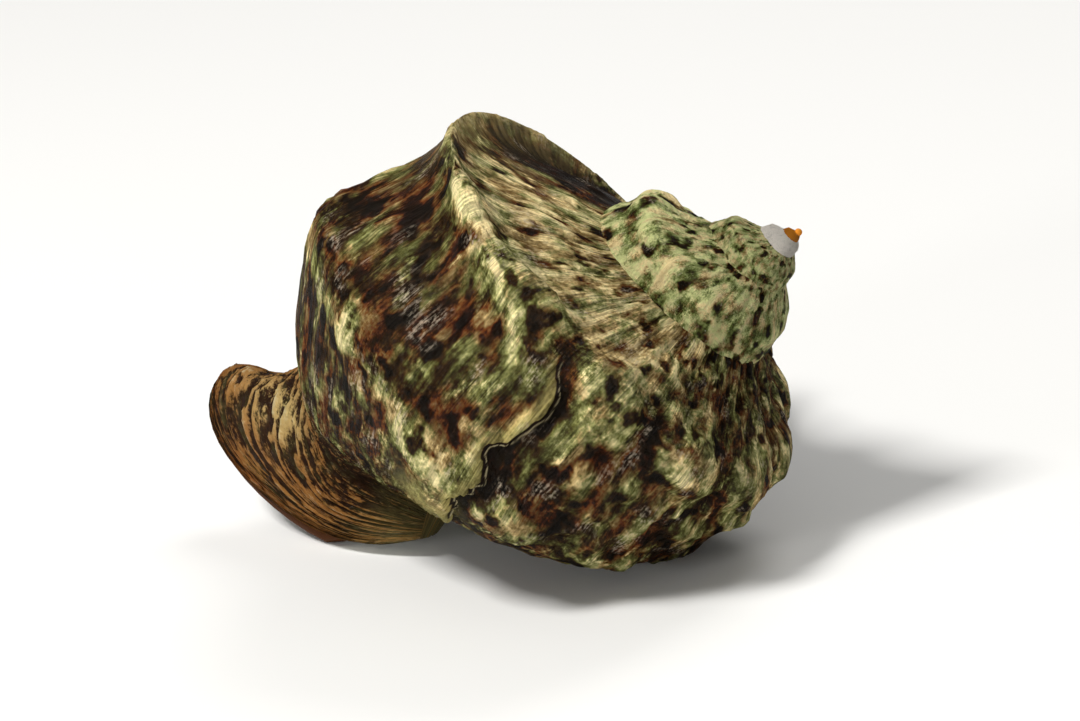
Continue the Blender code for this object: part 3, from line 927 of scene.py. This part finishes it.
def mottling(tree, at, spread=1.0):
    """The mottling at one scale: lightness, hue and the broken edge of both."""
    edge = product(tree, at.streak, STREAK_SHARE)
    edge = plus(tree, edge, noise(tree, at, "flecks", spread), FLECK_SHARE)
    edge = plus(tree, edge, at.speckle, SPECKLE_SHARE)
    blotch = plus(tree, noise(tree, at, "blotches", spread), edge, BLOTCH_FRAYED)
    pale = plus(tree, noise(tree, at, "pale patches", spread), edge, PALE_FRAYED)
    light = plus(tree, edge, noise(tree, at, "clouds", spread), CLOUD_SHARE)
    light = plus(tree, light, ramped(tree, pale, 0.12, 0.42), PALE_AMOUNT)
    light = plus(tree, light, ramped(tree, blotch, 0.06, 0.30), BLOTCH_AMOUNT)
    hue = plus(tree, noise(tree, at, "tones", spread), edge, HUE_FRAYED)
    rusty = bell(tree, blotch, 0.06, 0.09)
    return light, plus(tree, hue, rusty, RUSTY_AMOUNT), edge


def mottled_ground(tree, at, share):
    """The ground colour. The hue, the broken edge and the spire's lightness are kept for later steps."""
    light, hue, edge = mottling(tree, at)
    spire_light = mottling(tree, at, SPIRE_SPREAD)[0]
    spire_light = product(tree, spire_light, ramped(tree, at.grow, -500.0, -800.0, 1.35, 0.9))
    light = add(tree, "ShaderNodeMix", {0: share["spire"], 2: light, 3: spire_light}, data_type="FLOAT").outputs[0]
    # Painted highlight: raised shell is painted paler by its height
    raised = calc(tree, "SMOOTH_MIN", at.relief, RAISED_UP_TO_MM, RAISED_BLEND_MM)
    light = plus(tree, light, raised, RAISED_HIGHLIGHT_SHARE)
    for name, amount in LIGHTER.items():
        light = plus(tree, light, share[name], amount)
    light = ramped(tree, light, DARKEST, LIGHTEST)

    greener = product(tree, share["spire"], ramped(tree, hue, 0.30, -0.15, 0.0, 0.8))
    hue = plus(tree, plus(tree, hue, share["ramp"], RAMP_WARMER), share["spire"], SPIRE_WARMER)
    ground = blended(tree, ramped(tree, hue, -0.02, 0.30),
                     colour_ramp(tree, light, COOL_RAMP), colour_ramp(tree, light, WARM_RAMP))
    ground = blended(tree, greener, ground, tinted(tree, ground, SEA_GREEN_TINT))
    at.hue, at.edge, at.spire_light = hue, edge, spire_light
    return tinted(tree, ground, WARM_TINT)


# %% [markdown]
# ## Growth lines, and the scar's colours, painted shadow and glint
# Every stretch of growth shows as a hairline, darker or paler than the last. The lines only scale the colour, so
# they cross blotches and flecks alike. At the scar the newer shell starts with a plain olive fringe, and the crack
# behind it is painted dark as the shadow under the raised edge, with a broken painted glint beside it.

# %% Lines and scar colours
LINE_DEPTH = 0.60
CALM_ON_SPIRE = 0.4
RIDGE_SHARE = 0.6


def growth_lines(tree, at, share, ground):
    """Scale the colour by the fine lines of growth."""
    faded = ramped(tree, noise(tree, at, "thread fading"), -0.18, 0.18, 0.35, 1.1)
    lines = plus(tree, product(tree, noise(tree, at, "threads"), faded), at.ridge, RIDGE_SHARE)
    lines = ramped(tree, lines, -0.42, 0.50, -LINE_DEPTH, LINE_DEPTH)
    lines = plus(tree, 1.0, lines, ramped(tree, share["spire"], 0.0, 1.0, 1.0, CALM_ON_SPIRE))
    return add(tree, "ShaderNodeVectorMath", {0: ground, "Scale": lines}, operation="SCALE").outputs[0]


def scar_fringe(tree, at, ground):
    fringe = product(tree, ramped(tree, at.from_scar, -0.1, 0.2), ramped(tree, at.from_scar, 4.0, 0.8),
                     ramped(tree, at.edge, -0.25, 0.1, 0.3, 0.9), at.scar_reach)
    return blended(tree, fringe, ground, OLIVE)


def scar_shadow_and_glint(tree, at, ground):
    # The dark line is painted shadow under the scar's raised edge, and the glint beside it is a painted highlight
    crack = product(tree, bell(tree, at.from_scar, -0.35, 0.35), at.scar_reach)
    glint = product(tree, bell(tree, at.from_scar, -1.0, 0.22), ramped(tree, at.streak, -0.2, 0.1, 0.0, 0.8),
                    at.scar_reach)
    return blended(tree, glint, blended(tree, crack, ground, CRACK_SHADOW_DARK), CREAM)


# %% [markdown]
# ## The spout's colours
# The layers of the spout are tan and brown, and the same saw teeth that shape the layers colour them: where a
# layer stands up it is painted lighter as a highlight, and each gap where a layer ends is painted dark as shade.
# It is yellower in the middle, and painted lighter there where the upper spout catches the light; its root, where
# it runs in under the body, is painted shade; and it is rusty toward the lip's edge.

# %% Spout colours
LAYER_LIGHT_AND_SHADE, FLECK_CONTRAST = 1.3, 1.2
LIT_PATCH_LIGHTER, ROOT_SHADE = 0.30, 0.35
SPOUT_COVERS = 0.85


def spout_brown(tree, at):
    # Painted highlight on the standing layers and painted shade in the gaps, over their tan and brown colour
    lamella = plus(tree, product(tree, at.layer, LAYER_LIGHT_AND_SHADE), at.edge, FLECK_CONTRAST)
    # Yellow patch in its own colour, also painted lighter as the lit upper spout
    yellow_and_lit = product(tree, bell(tree, at.along, 0.735, 0.055), bell(tree, at.grow, -66.0, 20.0))
    lamella = plus(tree, lamella, yellow_and_lit, LIT_PATCH_LIGHTER)
    # Painted shade at the root, where the spout runs in under the body
    lamella = calc(tree, "SUBTRACT", lamella, ramped(tree, at.grow, -80.0, -112.0, 0.0, ROOT_SHADE))
    tan = blended(tree, yellow_and_lit, TAN, YELLOW_TAN)
    tan = blended(tree, ramped(tree, at.grow, -42.0, -12.0, 0.0, 0.75), tan, RUST)
    brown = blended(tree, ramped(tree, lamella, -0.02, 0.38), BROWN, tan)
    return blended(tree, ramped(tree, lamella, 0.5, 1.1, 0.0, 0.8), brown, CREAM)


# %% [markdown]
# ## Patches and wear
# The arch is yellow-tan along its ridges, and the notch under the scar and the seam at the axis are yellow
# green. Scuffs have scraped the colour off in patches, and the oldest whorls are worn white, with orange shell
# bared at the very tip. Each is a mix over the ground, and its share is broken up so that no border is even.

# %% Patches and wear
SEAM_SHARE = 0.3


def patches(tree, at, share, ground):
    """Lay the yellow patches and the scuffs over the ground."""
    arch = product(tree, share["arch"], ramped(tree, at.ridge, -0.3, 0.3, 0.2, 0.8))
    ground = blended(tree, arch, ground, YELLOW_TAN)

    seam = product(tree, ramped(tree, at.along, 0.90, 0.985), ramped(tree, at.grow, -290.0, -230.0), SEAM_SHARE)
    notch = product(tree, bell(tree, at.along, 0.57, 0.045), bell(tree, at.grow, -196.0, 9.0))
    yellow = product(tree, calc(tree, "MAXIMUM", seam, notch), ramped(tree, at.edge, -0.3, 0.2, 0.3, 0.9))
    ground = blended(tree, yellow, ground, YELLOW_GREEN)

    scratches = ramped(tree, calc(tree, "ADD", at.streak, at.speckle), -0.10, 0.45, 0.0, 0.70)
    scuffed = product(tree, ramped(tree, noise(tree, at, "scuffs"), 0.10, 0.32), scratches,
                      ramped(tree, at.on_spout, 0.5, 0.1))
    return blended(tree, scuffed, ground, SCUFFED)


def worn_tip(tree, at, ground):
    worn = product(tree, ramped(tree, at.grow, -1080.0, -1180.0),
                   ramped(tree, at.spire_light, -0.7, 0.1, 0.82, 0.98))
    ground = blended(tree, worn, ground, WORN_WHITE)
    return blended(tree, ramped(tree, at.grow, -1440.0, -1520.0), ground, TIP_ORANGE)


# %% [markdown]
# ## Pearl, gloss and grain
# The inside is mother-of-pearl, with a faint green and rose sheen and a clear coat. The outside is duller and has
# hairlines, grains and small knobbles, too fine for the mesh, so a Bump node tilts the light on them.

# %% Pearl, gloss and grain
SMOOTHEST, ROUGHEST = 0.30, 0.58
COAT_OUTSIDE, COAT_INSIDE = 0.15, 0.6
COAT_ROUGHNESS = 0.14
# Heights of the small bumps
HAIRLINE_MM, GRAIN_MM, KNOBBLE_MM = 0.35, 0.7, 1.2
BUMPS_INSIDE = 0.04


def pearl_lining(tree, at):
    sheen = noise(tree, at, "sheen")
    pearl = blended(tree, ramped(tree, sheen, -0.5, 0.1, 0.6, 0.0), PEARL, PEARL_GREEN)
    return blended(tree, ramped(tree, sheen, 0.0, 0.5, 0.0, 0.5), pearl, PEARL_ROSE)


def gloss_and_grain(tree, at, surface):
    """Link the gloss and the small bumps to the surface."""
    rough = ramped(tree, calc(tree, "ADD", at.streak, at.hue), -0.5, 0.7, SMOOTHEST, ROUGHEST)
    tree.links.new(plus(tree, rough, at.on_spout, 0.1), surface.inputs["Roughness"])
    surface.inputs["Specular IOR Level"].default_value = 0.0
    coat = ramped(tree, at.inner, 0.0, 1.0, COAT_OUTSIDE, COAT_INSIDE)
    tree.links.new(coat, surface.inputs["Coat Weight"])
    surface.inputs["Coat Roughness"].default_value = COAT_ROUGHNESS

    height = product(tree, noise(tree, at, "hairlines"), HAIRLINE_MM)
    height = plus(tree, height, noise(tree, at, "grains"), GRAIN_MM)
    height = plus(tree, height, noise(tree, at, "small knobbles"), KNOBBLE_MM)
    height = product(tree, height, ramped(tree, at.inner, 0.0, 1.0, 1.0, BUMPS_INSIDE))
    bump = add(tree, "ShaderNodeBump", {"Height": height, "Strength": 1.0, "Distance": MM})
    tree.links.new(bump.outputs[0], surface.inputs["Normal"])
    tree.links.new(bump.outputs[0], surface.inputs["Coat Normal"])


# %% [markdown]
# ## The whole finish
# The steps above are laid over one another in the order in which they lie on the shell: first the mottled ground,
# then the fringe, the lines, the spout and the patches, and last the scar's crack, with its painted shadow and
# glint, and the wear. The rim of the lip and the pearl take over where the strip says that the point belongs to
# them.

# %% Finish
READ_BY_FINISH = ("grow", "along", "relief", "ridge", "layer", "on_spout", "inner", "rim")


def shell_finish():
    material = bpy.data.materials.new("mottled_shell")
    material.use_nodes = True
    tree = material.node_tree
    surface = tree.nodes["Principled BSDF"]
    at = SimpleNamespace(**{name: read(tree, name) for name in READ_BY_FINISH})
    at.measured = read(tree, "measured", "Vector")
    at.streak, at.speckle = noise(tree, at, "streaks"), noise(tree, at, "speckles")
    at.from_scar, at.scar_reach = scar_line(tree, at)
    share = places(tree, at)

    ground = scar_fringe(tree, at, mottled_ground(tree, at, share))
    ground = growth_lines(tree, at, share, ground)
    ground = blended(tree, product(tree, at.on_spout, SPOUT_COVERS), ground, spout_brown(tree, at))
    ground = patches(tree, at, share, ground)
    ground = worn_tip(tree, at, scar_shadow_and_glint(tree, at, ground))
    colour = blended(tree, at.inner, ground, pearl_lining(tree, at))
    rim_brown = blended(tree, ramped(tree, at.streak, -0.3, 0.5), BROWN, RUST)
    tree.links.new(blended(tree, at.rim, colour, rim_brown), surface.inputs["Base Color"])
    gloss_and_grain(tree, at, surface)
    return material


finish = shell_finish()
print("finish:", finish.name, "nodes:", len(finish.node_tree.nodes))

# %% [markdown]
# ## Running the sweep
# The tree goes on the strip as a modifier. Its inputs are set by the sockets' identifiers, because a modifier
# doesn't know them by name. The result is then made a plain mesh, which is what is finished.

# %% Run the sweep
tree = sweep_tree(finish)
sweep = shell.modifiers.new("sweep", "NODES")
sweep.node_group = tree
for socket in tree.interface.items_tree:
    if socket.in_out == "INPUT" and socket.name in SWEEP_INPUTS:
        sweep[socket.identifier] = SWEEP_INPUTS[socket.name]
swept = bpy.data.meshes.new_from_object(shell.evaluated_get(bpy.context.evaluated_depsgraph_get()))
shell.modifiers.remove(sweep)
shell.data = swept
triangles = sum(len(face.vertices) - 2 for face in swept.polygons)
print("swept shell:", len(swept.vertices), "points,", triangles, "triangles")

# %% [markdown]
# ## Laying the shell down
# So far the shell stands on its axis with the tip at the origin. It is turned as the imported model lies, on its
# opening, and set on the same plane, in the middle of the model's box. Where ridges stand past the box, the
# whole shell is made a little smaller, because the model's size is the true one.

# %% Lay it down
LIE_TURNS_DEG = (14.06, -57.66, 149.33)
FIT_MARGIN = 0.9995
lie = Euler([math.radians(a) for a in LIE_TURNS_DEG]).to_matrix()
swept.transform(lie.to_4x4())
spots = np.empty(len(swept.vertices) * 3, np.float32)
swept.vertices.foreach_get("co", spots)
spots = spots.reshape(-1, 3)
low, high = spots.min(axis=0), spots.max(axis=0)
model_size = np.array(MODEL_HIGH) - np.array(MODEL_LOW)
fit = min(1.0, float((model_size / (high - low)).min()) * FIT_MARGIN)
middle = (low + high) / 2
model_middle = (MODEL_LOW + MODEL_HIGH) / 2
onto = Matrix.Translation((model_middle.x, model_middle.y, MODEL_LOW.z)) @ Matrix.Scale(fit, 4) \
    @ Matrix.Translation((-middle[0], -middle[1], -low[2]))
swept.transform(onto)
print("fitted to the model by", round(fit, 4))

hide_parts("turban_shell")
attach(shell, "root")

# %% [markdown]
# ## The studio
# A plain pale floor, a dim white sky and three large, soft lamps. The key lamp hangs to the upper left, so the
# shoulder and the ramp catch it and the base falls into shade. A low lamp from the left shows the side, and one
# from behind lifts the floor and the spire's edge.

# %% Floor and light
bpy.context.scene.view_settings.view_transform = "Standard"
FLOOR_SIZE = 6.0
FLOOR_COLOUR = (0.86, 0.86, 0.85, 1)
FLOOR_ROUGHNESS = 0.7
SKY_COLOUR = (1.0, 1.0, 0.99, 1)
SKY_STRENGTH = 0.26
LAMP_COLOUR = (1.0, 0.985, 0.96)
LAMPS_AIM = Vector((0, 0, 0.06))
# name: watts, size in metres, place
LAMPS = {
    "key": (52.0, 0.55, (-1.05, -0.75, 1.95)),
    "side": (13.0, 0.45, (-1.7, -1.4, 0.50)),
    "back": (22.0, 1.2, (1.0, 1.6, 2.0)),
}
bpy.ops.mesh.primitive_plane_add(size=FLOOR_SIZE)
floor = bpy.context.object
floor.name = "floor"
floor_paint = bpy.data.materials.new("pale_floor")
floor_paint.use_nodes = True
floor_surface = floor_paint.node_tree.nodes["Principled BSDF"]
floor_surface.inputs["Base Color"].default_value = FLOOR_COLOUR
floor_surface.inputs["Roughness"].default_value = FLOOR_ROUGHNESS
floor.data.materials.append(floor_paint)

world = bpy.data.worlds.new("studio")
world.use_nodes = True
world.node_tree.nodes["Background"].inputs["Color"].default_value = SKY_COLOUR
world.node_tree.nodes["Background"].inputs["Strength"].default_value = SKY_STRENGTH
bpy.context.scene.world = world

for name, (power, size, spot) in LAMPS.items():
    lamp = bpy.data.lights.new(name, "AREA")
    lamp.energy = power
    lamp.size = size
    lamp.color = LAMP_COLOUR
    lamp_object = bpy.data.objects.new(name, lamp)
    lamp_object.location = spot
    lamp_object.rotation_mode = "QUATERNION"
    lamp_object.rotation_quaternion = (LAMPS_AIM - Vector(spot)).to_track_quat("-Z", "Y")
    bpy.context.scene.collection.objects.link(lamp_object)
print("lamps:", ", ".join(LAMPS))

# %% [markdown]
# ## The camera
# The camera's place is easiest to say in the shell's own frame: it looks from a little above the base plane of
# the spire, and the shell's axis leans over to the right in the picture. Its three directions are then turned
# with the shell. A long lens from far away keeps the outline free of distortion.

# %% Camera
PHOTO_ROLL_DEG = 34.3
PHOTO_TILT_DEG = 21.0
LENS_MM = 200
SENSOR_MM = 36
CLIP_END = 20
# width of the picture at the shell, and the tip's place in it from the middle, in metres
VIEW_WIDTH = 0.3024
TIP_RIGHT, TIP_UP = 0.0732, 0.0365

roll, tilt = math.radians(PHOTO_ROLL_DEG), math.radians(PHOTO_TILT_DEG)
right = lie @ Vector((-math.sin(roll), -math.sin(tilt) * math.cos(roll), math.cos(tilt) * math.cos(roll)))
up = lie @ Vector((math.cos(roll), -math.sin(tilt) * math.sin(roll), math.cos(tilt) * math.sin(roll)))
back = lie @ Vector((0, math.cos(tilt), math.sin(tilt)))
tip = onto @ Vector((0, 0, 0))
aim = tip - right * TIP_RIGHT - up * TIP_UP
camera_data = bpy.data.cameras.new("camera")
camera_data.lens = LENS_MM
camera_data.sensor_width = SENSOR_MM
camera_data.clip_end = CLIP_END
camera = bpy.data.objects.new("camera", camera_data)
facing = Matrix((right, up, back)).transposed().to_4x4()
facing.translation = aim + back * (VIEW_WIDTH * LENS_MM / SENSOR_MM)
camera.matrix_world = facing
bpy.context.scene.collection.objects.link(camera)
bpy.context.scene.camera = camera
print("camera at", [round(v, 3) for v in camera.matrix_world.translation])
